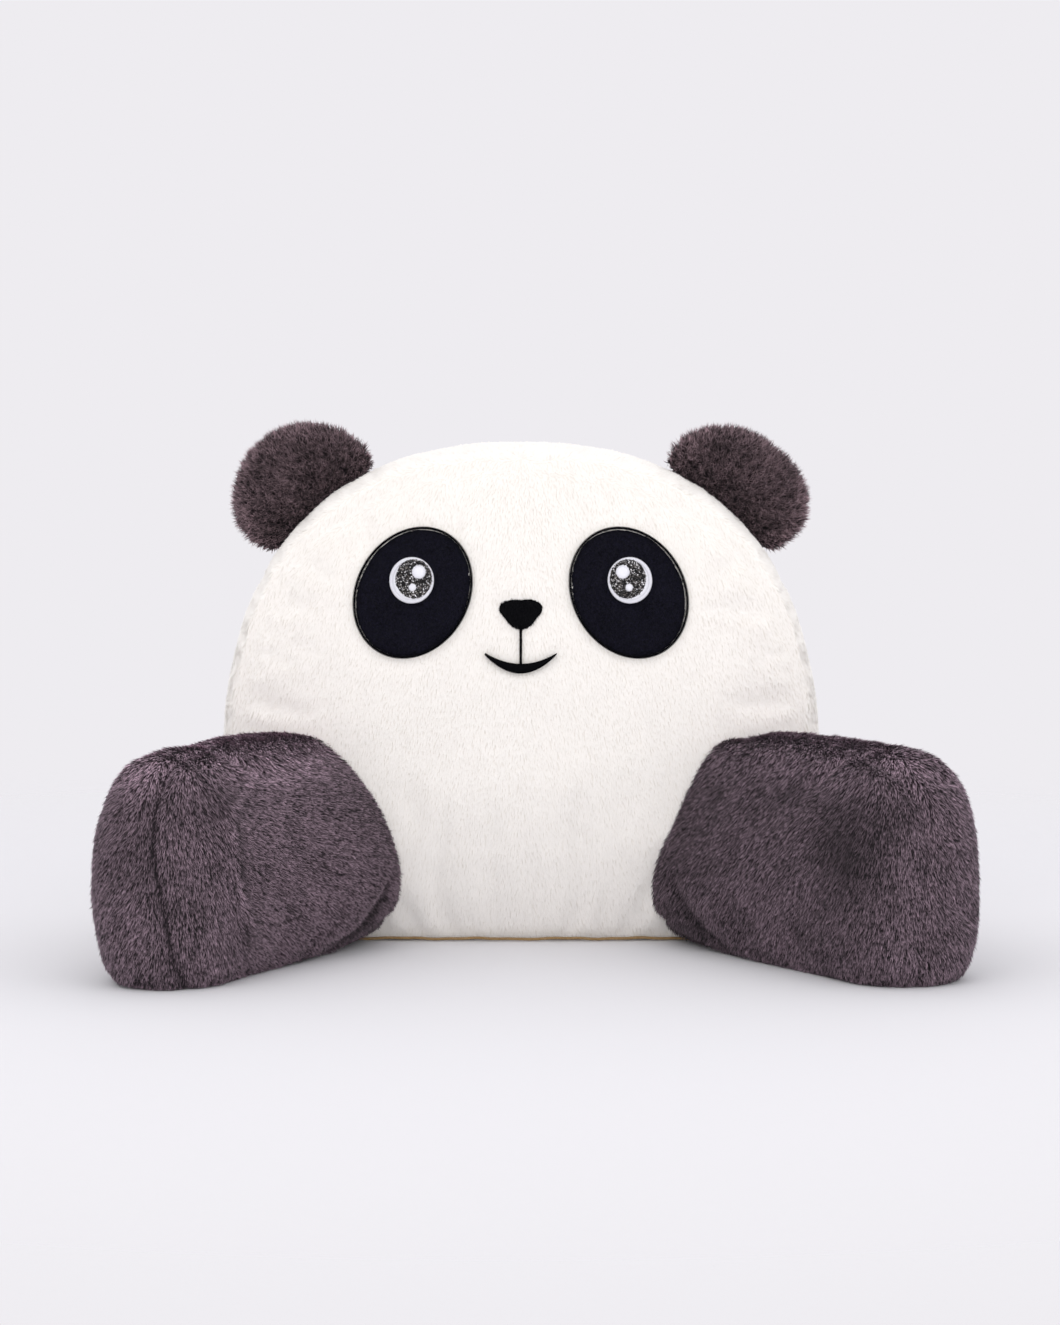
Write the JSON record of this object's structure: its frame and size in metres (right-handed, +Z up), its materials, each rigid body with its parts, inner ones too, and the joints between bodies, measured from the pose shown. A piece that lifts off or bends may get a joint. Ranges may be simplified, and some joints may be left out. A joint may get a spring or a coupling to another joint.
{
  "type": "plush backrest cushion",
  "caption": "Furry dome-shaped backrest cushion with an embroidered bear face, swinging stuffed armrests and floppy round ears.",
  "frame": {"origin": "middle of the torso's flat base, on the surface the cushion stands on", "axes": "+Z up, the face looks along -Y, +X towards the arm on the right as seen from in front"},
  "size_m": [0.6505, 0.4152, 0.4093],
  "materials": {
    "white_fur": "short soft faux fur",
    "charcoal_fur": "short soft faux fur",
    "navy_minky": "short-pile plush",
    "black_thread": "satin-stitch embroidery",
    "white_thread": "satin-stitch embroidery",
    "glitter_grey": "metallic thread embroidery",
    "fibre_filling": "loose polyester fibre"
  },
  "bodies": {
    "torso": {"front_panel": "white_fur", "gusset": "white_fur", "back_panel": "white_fur", "base_panel": "white_fur", "torso_stuffing": "fibre_filling", "closing_stitches": "white_thread", "eye_patch_left": "navy_minky", "patch_border_left": "black_thread", "eye_white_left": "white_thread", "iris_left": "glitter_grey", "eye_glints_left": "white_thread", "eye_patch_right": "navy_minky", "patch_border_right": "black_thread", "eye_white_right": "white_thread", "iris_right": "glitter_grey", "eye_glints_right": "white_thread", "nose": "black_thread", "philtrum": "black_thread", "mouth": "black_thread"},
    "arm_left": {"arm_inner_panel_left": "charcoal_fur", "arm_outer_panel_left": "charcoal_fur", "arm_base_panel_left": "charcoal_fur", "arm_stuffing_left": "fibre_filling"},
    "arm_right": {"arm_inner_panel_right": "charcoal_fur", "arm_outer_panel_right": "charcoal_fur", "arm_base_panel_right": "charcoal_fur", "arm_stuffing_right": "fibre_filling"},
    "ear_left": {"ear_front_panel_left": "charcoal_fur", "ear_back_panel_left": "charcoal_fur", "ear_stuffing_left": "fibre_filling"},
    "ear_right": {"ear_front_panel_right": "charcoal_fur", "ear_back_panel_right": "charcoal_fur", "ear_stuffing_right": "fibre_filling"}
  },
  "joints": [
    {"name": "arm_swing_left", "type": "hinge", "parent": "torso", "child": "arm_left", "pos_m": [-0.175, -0.078, 0], "axis": [0, 0, 1], "range_deg": [-18, 24]},
    {"name": "ear_flop_left", "type": "hinge", "parent": "torso", "child": "ear_left", "pos_m": [-0.1653, 0, 0.3434], "axis": [0.7547, 0, 0.6561], "range_deg": [-25, 25], "stiffness_Nm_per_rad": 0.12},
    {"name": "arm_swing_right", "type": "hinge", "parent": "torso", "child": "arm_right", "pos_m": [0.175, -0.078, 0], "axis": [0, 0, -1], "range_deg": [-18, 24]},
    {"name": "ear_flop_right", "type": "hinge", "parent": "torso", "child": "ear_right", "pos_m": [0.1653, 0, 0.3434], "axis": [0.7547, 0, -0.6561], "range_deg": [-25, 25], "stiffness_Nm_per_rad": 0.12}
  ]
}
